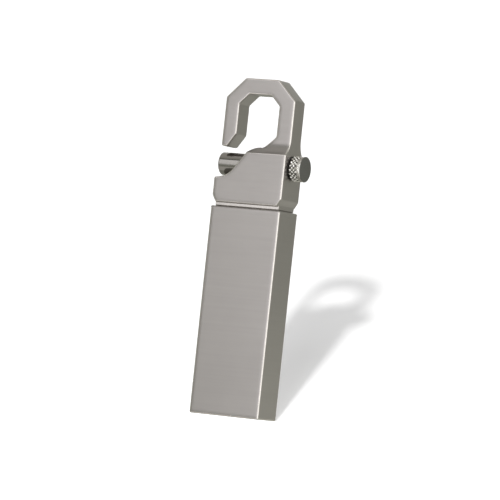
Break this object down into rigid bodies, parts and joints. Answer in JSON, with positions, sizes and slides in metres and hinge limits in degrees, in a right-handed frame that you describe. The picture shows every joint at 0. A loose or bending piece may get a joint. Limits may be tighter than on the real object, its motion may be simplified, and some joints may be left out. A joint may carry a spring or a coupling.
{
  "type": "usb flash drive",
  "caption": "Metal flash drive with a sprung-gate hook, a knurled pull knob and a pull-off metal cap over its plug.",
  "frame": {"origin": "centre of the flat closed end of the cap, which the drive stands on", "axes": "+Z along the drive's length towards the hook, +X across its width towards the pull knob, +Y through its depth towards the back"},
  "size_m": [0.0186, 0.008, 0.0676],
  "materials": {
    "satin_nickel": "satin nickel plate over die-cast zinc, with a faint brushed grain",
    "polished_nickel": "mirror-polished nickel plate",
    "knurled_nickel": "bright knurled rim and a darker turned end face",
    "spring_steel": "bright drawn wire",
    "plug_steel": "bright nickel-plated sheet",
    "black_plastic": "fine moulded texture",
    "tongue_plastic": "smooth moulded",
    "board_green": "solder mask",
    "chip_epoxy": "matt moulded epoxy",
    "contact_gold": "gold flash over copper alloy",
    "crystal_steel": "bright lid",
    "ceramic_tan": "fired ceramic",
    "resistor_black": "glazed ceramic"
  },
  "bodies": {
    "cap": {"cap_shell": "satin_nickel", "cap_liner": "black_plastic"},
    "drive": {"hook_head": "satin_nickel", "carrier_front": "black_plastic", "carrier_rear": "black_plastic", "usb_plug_shell": "plug_steel", "plug_insulator": "tongue_plastic", "circuit_board": "board_green", "contact_power": "contact_gold", "contact_data_minus": "contact_gold", "contact_data_plus": "contact_gold", "contact_ground": "contact_gold", "controller_chip": "chip_epoxy", "flash_memory_chip": "chip_epoxy", "crystal_can": "crystal_steel", "voltage_regulator": "chip_epoxy", "resistor_1": "resistor_black", "resistor_2": "resistor_black", "resistor_3": "resistor_black", "capacitor_1": "ceramic_tan", "capacitor_2": "ceramic_tan", "capacitor_3": "ceramic_tan", "capacitor_4": "ceramic_tan"},
    "gate_spring": {"plunger_spring": "spring_steel"},
    "gate_pin": {"gate_plunger": "polished_nickel", "pull_knob": "knurled_nickel"}
  },
  "joints": [
    {"name": "cap_pull", "type": "slide", "parent": "cap", "child": "drive", "axis": [0, 0, 1], "range_m": [0, 0.042]},
    {"name": "gate_slide", "type": "slide", "parent": "drive", "child": "gate_spring", "axis": [1, 0, 0], "range_m": [0, 0.0045], "stiffness_N_per_m": 450, "springref_m": -0.003, "deforming": ["plunger_spring"]},
    {"name": "gate_spin", "type": "hinge", "parent": "gate_spring", "child": "gate_pin", "pos_m": [0, 0, 0.0503], "axis": [1, 0, 0], "continuous": true}
  ]
}
